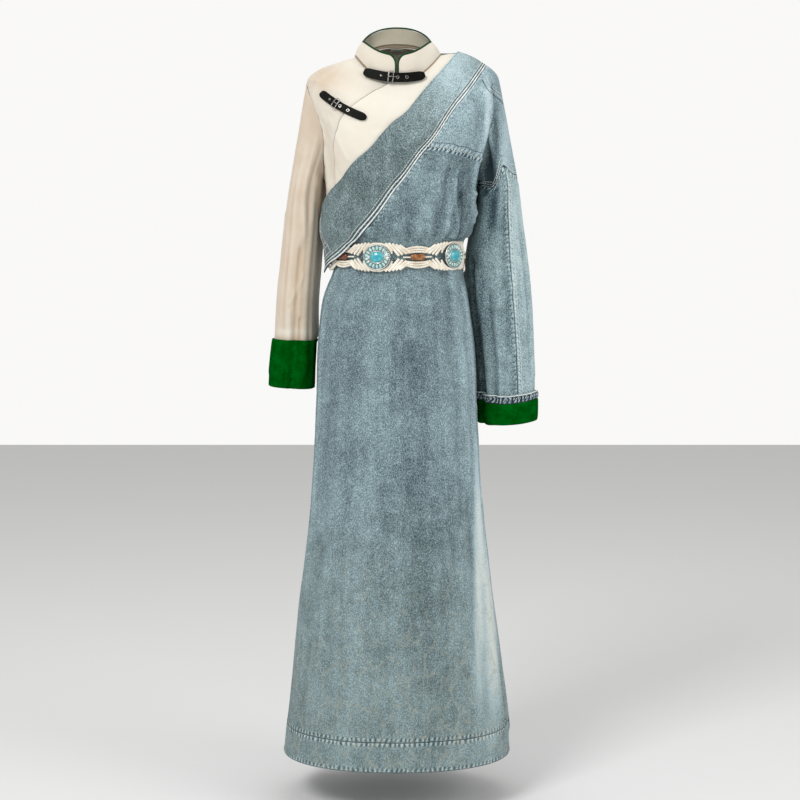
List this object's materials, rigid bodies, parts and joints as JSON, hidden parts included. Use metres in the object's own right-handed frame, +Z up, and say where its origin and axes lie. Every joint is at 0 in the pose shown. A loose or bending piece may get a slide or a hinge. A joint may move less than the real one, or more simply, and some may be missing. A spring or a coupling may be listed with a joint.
{
  "type": "chuba robe",
  "caption": "Long one-shoulder denim robe over a cream upper with a standing collar, leather strap closures, green cuffs and a knotted cord belt with oval plates.",
  "frame": {"origin": "middle of the neck at the height of the shoulders, where the wearer's shoulders hold the robe", "axes": "+X to the wearer's left, +Y to the wearer's back, +Z up; the front faces -Y"},
  "size_m": [0.5045, 0.329, 1.3499],
  "materials": {
    "cream_knit": "soft ribbed knit",
    "green_knit": "dark green fleecy cloth",
    "green_piping": "dark green bias piping",
    "washed_denim": "washed blue-grey denim",
    "lapel_denim": "paler washed denim",
    "sleeve_denim": "pale washed denim",
    "dark_denim": "dark denim",
    "black_leather": "black grain leather",
    "silver_metal": "dull silver metal",
    "belt_cord": "cream knotted cord",
    "turquoise_stone": "mottled turquoise stone",
    "amber_bead": "brown amber bead",
    "label_cloth": "plain woven tape"
  },
  "bodies": {
    "root": {"belt_band": "belt_cord", "belt_bead_1": "amber_bead", "belt_bead_2": "amber_bead", "belt_bead_3": "amber_bead", "belt_knot": "belt_cord", "belt_plate_1": "silver_metal", "belt_plate_2": "silver_metal", "belt_plate_3": "silver_metal", "belt_plate_4": "silver_metal", "belt_stone_1": "turquoise_stone", "belt_stone_2": "turquoise_stone", "belt_stone_3": "turquoise_stone", "belt_stone_4": "turquoise_stone", "belt_tail_1": "belt_cord", "belt_tail_2": "belt_cord", "belt_tie": "belt_cord", "closure_lower_buckle": "silver_metal", "closure_lower_eyelet_prong": "silver_metal", "closure_lower_eyelet_spare": "silver_metal", "closure_lower_prong": "silver_metal", "closure_lower_rivet": "silver_metal", "closure_lower_strap_left": "black_leather", "closure_lower_strap_right": "black_leather", "closure_upper_buckle": "silver_metal", "closure_upper_eyelet_prong": "silver_metal", "closure_upper_eyelet_spare": "silver_metal", "closure_upper_prong": "silver_metal", "closure_upper_rivet": "silver_metal", "closure_upper_strap_left": "black_leather", "closure_upper_strap_right": "black_leather", "collar": "cream_knit", "collar_piping": "green_piping", "hem_band_back": "washed_denim", "hem_band_front": "washed_denim", "lapel_back": "lapel_denim", "lapel_front": "lapel_denim", "neck_label": "label_cloth", "robe_back_bodice": "washed_denim", "robe_back_yoke": "washed_denim", "robe_cuff": "green_knit", "robe_cuff_edge": "dark_denim", "robe_front_bodice": "washed_denim", "robe_front_yoke": "washed_denim", "robe_skirt_back": "washed_denim", "robe_skirt_front": "washed_denim", "robe_sleeve_inner": "sleeve_denim", "robe_sleeve_outer": "sleeve_denim", "shirt_back": "cream_knit", "shirt_cuff": "green_knit", "shirt_front_crossed": "cream_knit", "shirt_front_under": "cream_knit", "shirt_sleeve": "cream_knit"}
  },
  "joints": []
}
